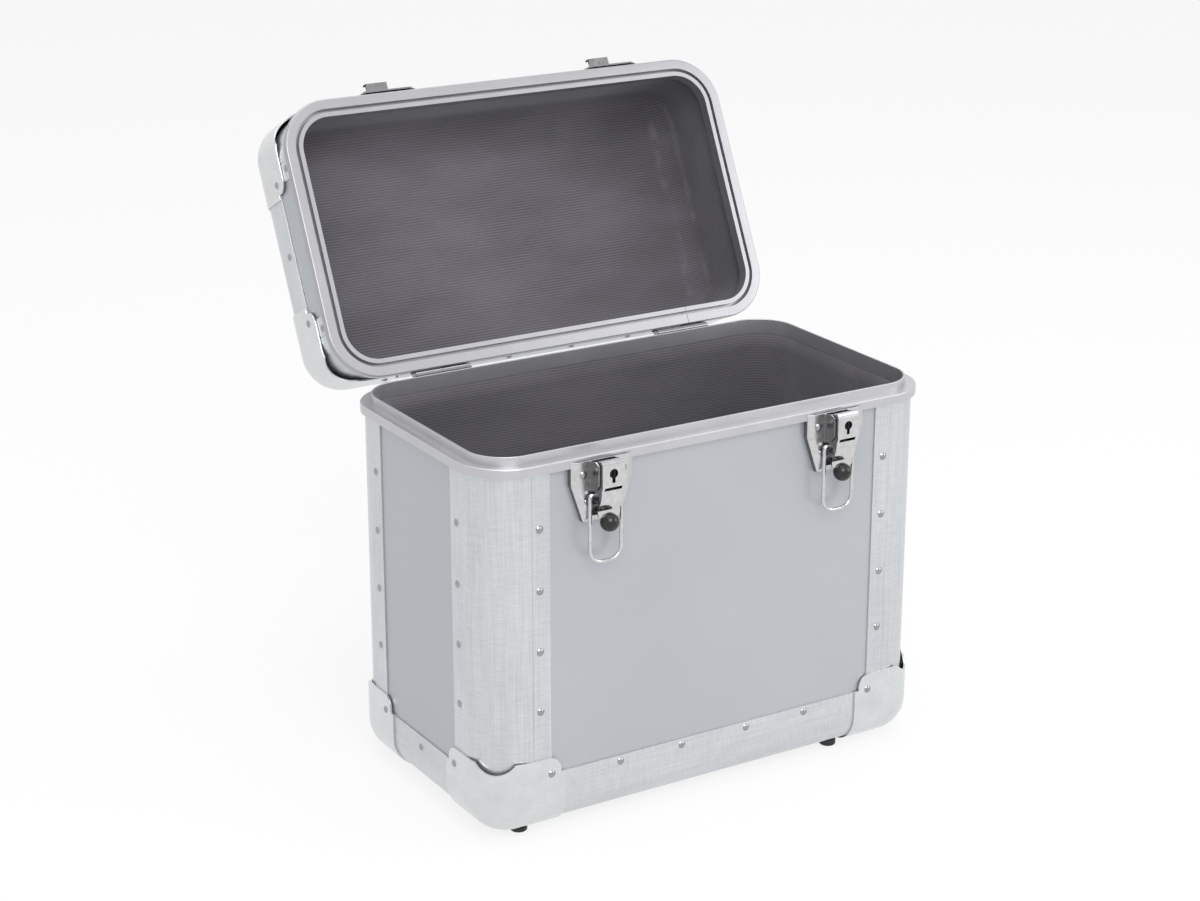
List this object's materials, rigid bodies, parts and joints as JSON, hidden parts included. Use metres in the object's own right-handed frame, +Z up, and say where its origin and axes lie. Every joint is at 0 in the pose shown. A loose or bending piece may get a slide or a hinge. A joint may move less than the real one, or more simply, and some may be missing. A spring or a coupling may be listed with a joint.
{
  "type": "record carrying case",
  "caption": "Hard record carrying case with riveted metal corner and edge profiles, pressed corner caps, a deep hinged lid held open, draw latches and a carrying handle.",
  "frame": {"origin": "on the floor under the middle of the overall bounds, with the lid open as stored", "axes": "+Z up, -Y towards the latches at the front, +Y towards the hinges and the open lid, +X to the right seen from the front"},
  "size_m": [0.3662, 0.373, 0.4628],
  "materials": {
    "faced_board": "satin silver-grey laminate on thin board",
    "corner_extrusion": "brushed along its length",
    "edge_extrusion": "brushed along its length",
    "pressed_cap": "smooth satin",
    "rim_extrusion": "satin anodised",
    "textile": "fine dark weave",
    "plated_steel": "polished nickel plate",
    "black_rubber": "matt black",
    "black_grip": "moulded, slightly rough"
  },
  "bodies": {
    "case": {"body_front_panel": "faced_board", "body_back_panel": "faced_board", "body_left_panel": "faced_board", "body_right_panel": "faced_board", "body_bottom_panel": "faced_board", "body_front_left_profile": "corner_extrusion", "body_front_right_profile": "corner_extrusion", "body_back_left_profile": "corner_extrusion", "body_back_right_profile": "corner_extrusion", "body_front_edge_profile": "edge_extrusion", "body_back_edge_profile": "edge_extrusion", "body_left_edge_profile": "edge_extrusion", "body_right_edge_profile": "edge_extrusion", "body_front_left_cap": "pressed_cap", "body_front_right_cap": "pressed_cap", "body_back_left_cap": "pressed_cap", "body_back_right_cap": "pressed_cap", "body_rim": "rim_extrusion", "body_lining": "textile", "body_rivets": "plated_steel", "feet": "black_rubber", "left_latch_base": "plated_steel", "right_latch_base": "plated_steel", "latch_pins": "plated_steel", "hinge_body_leaves": "plated_steel", "hinge_pins": "plated_steel"},
    "lid": {"lid_front_panel": "faced_board", "lid_back_panel": "faced_board", "lid_left_panel": "faced_board", "lid_right_panel": "faced_board", "lid_top_panel": "faced_board", "lid_front_left_profile": "corner_extrusion", "lid_front_right_profile": "corner_extrusion", "lid_back_left_profile": "corner_extrusion", "lid_back_right_profile": "corner_extrusion", "lid_front_edge_profile": "edge_extrusion", "lid_back_edge_profile": "edge_extrusion", "lid_left_edge_profile": "edge_extrusion", "lid_right_edge_profile": "edge_extrusion", "lid_front_left_cap": "pressed_cap", "lid_front_right_cap": "pressed_cap", "lid_back_left_cap": "pressed_cap", "lid_back_right_cap": "pressed_cap", "lid_rim": "rim_extrusion", "lid_lining": "textile", "lid_rivets": "plated_steel", "left_catch": "plated_steel", "right_catch": "plated_steel", "hinge_lid_leaves": "plated_steel", "handle_brackets": "plated_steel"},
    "handle": {"handle_rod": "plated_steel", "handle_grip": "black_grip"},
    "left_lever": {"left_latch_lever": "plated_steel", "left_latch_lever_tip": "black_rubber"},
    "left_bail": {"left_latch_bail": "plated_steel"},
    "left_lock": {"left_latch_lock_plate": "plated_steel"},
    "right_lever": {"right_latch_lever": "plated_steel", "right_latch_lever_tip": "black_rubber"},
    "right_bail": {"right_latch_bail": "plated_steel"},
    "right_lock": {"right_latch_lock_plate": "plated_steel"}
  },
  "joints": [
    {"name": "lid_hinge", "type": "hinge", "parent": "case", "child": "lid", "pos_m": [0, 0.0361, 0.273], "axis": [1, 0, 0], "range_deg": [0, 116]},
    {"name": "left_lever_pivot", "type": "hinge", "parent": "case", "child": "left_lever", "pos_m": [-0.0945, -0.18141, 0.265], "axis": [-1, 0, 0], "range_deg": [0, 130]},
    {"name": "left_bail_pivot", "type": "hinge", "parent": "left_lever", "child": "left_bail", "pos_m": [-0.0945, -0.17561, 0.245], "axis": [1, 0, 0], "range_deg": [-178, 3]},
    {"name": "left_lock_turn", "type": "hinge", "parent": "left_lever", "child": "left_lock", "pos_m": [-0.0945, -0.18391, 0.2613], "axis": [0, 1, 0], "range_deg": [0, 90]},
    {"name": "right_lever_pivot", "type": "hinge", "parent": "case", "child": "right_lever", "pos_m": [0.0945, -0.18141, 0.265], "axis": [-1, 0, 0], "range_deg": [0, 130]},
    {"name": "right_bail_pivot", "type": "hinge", "parent": "right_lever", "child": "right_bail", "pos_m": [0.0945, -0.17561, 0.245], "axis": [1, 0, 0], "range_deg": [-178, 3]},
    {"name": "right_lock_turn", "type": "hinge", "parent": "right_lever", "child": "right_lock", "pos_m": [0.0945, -0.18391, 0.2613], "axis": [0, 1, 0], "range_deg": [0, 90]},
    {"name": "handle_pivot", "type": "hinge", "parent": "lid", "child": "handle", "pos_m": [0, 0.15661, 0.33088], "axis": [1, 0, 0], "range_deg": [-24, 150]}
  ]
}
